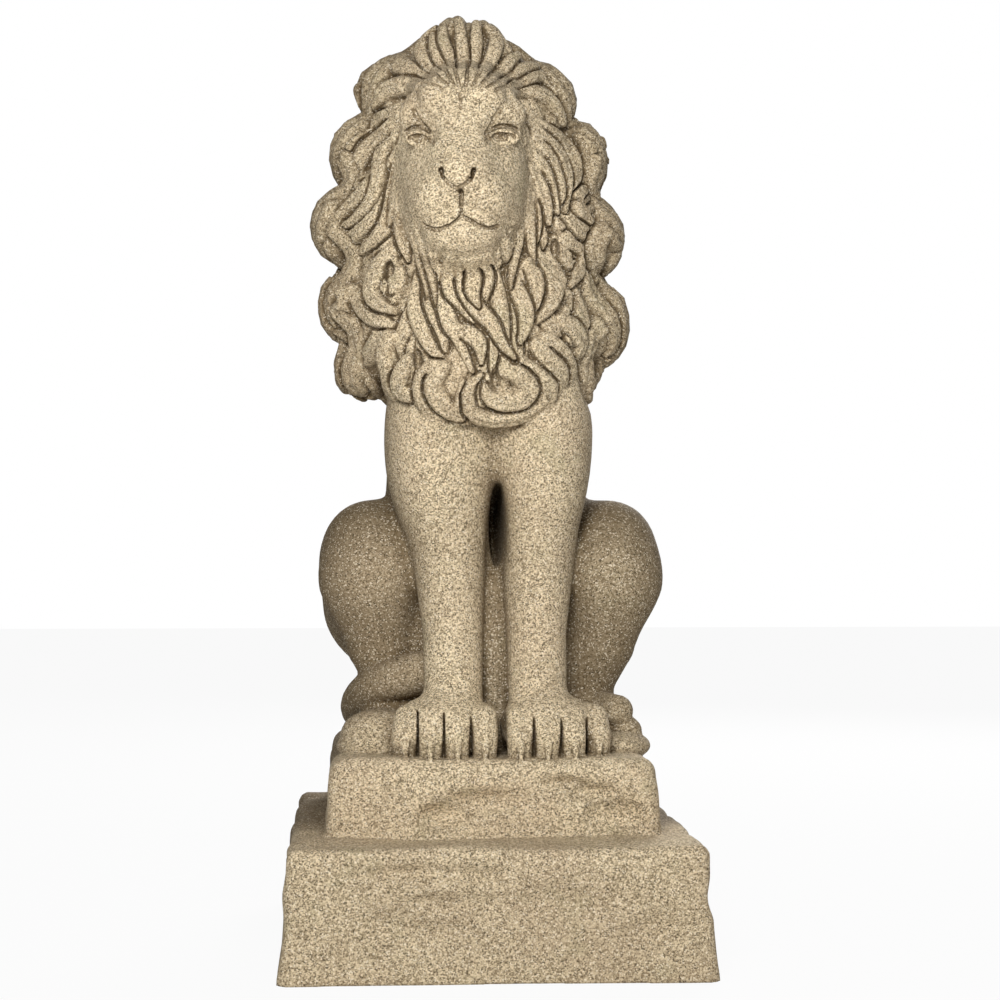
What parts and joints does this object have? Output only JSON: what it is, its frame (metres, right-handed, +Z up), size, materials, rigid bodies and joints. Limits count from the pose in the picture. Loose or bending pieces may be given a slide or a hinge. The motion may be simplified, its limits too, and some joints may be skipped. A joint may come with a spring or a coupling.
{
  "type": "lion statue",
  "caption": "Seated lion with a full curled mane, cast in one piece with its two-step rock plinth, in moulded sandstone-finish resin for garden or hall.",
  "frame": {"origin": "centre of the plinth's flat underside, where the statue stands on the ground", "axes": "+Z up along the statue's height, -Y the way the lion faces, +X to its left"},
  "size_m": [0.312, 0.4, 0.7148],
  "materials": {
    "sandstone_resin": "matt sand-textured resin with dark and pale specks, like weathered sandstone"
  },
  "bodies": {
    "root": {"lion_statue": "sandstone_resin"}
  },
  "joints": []
}
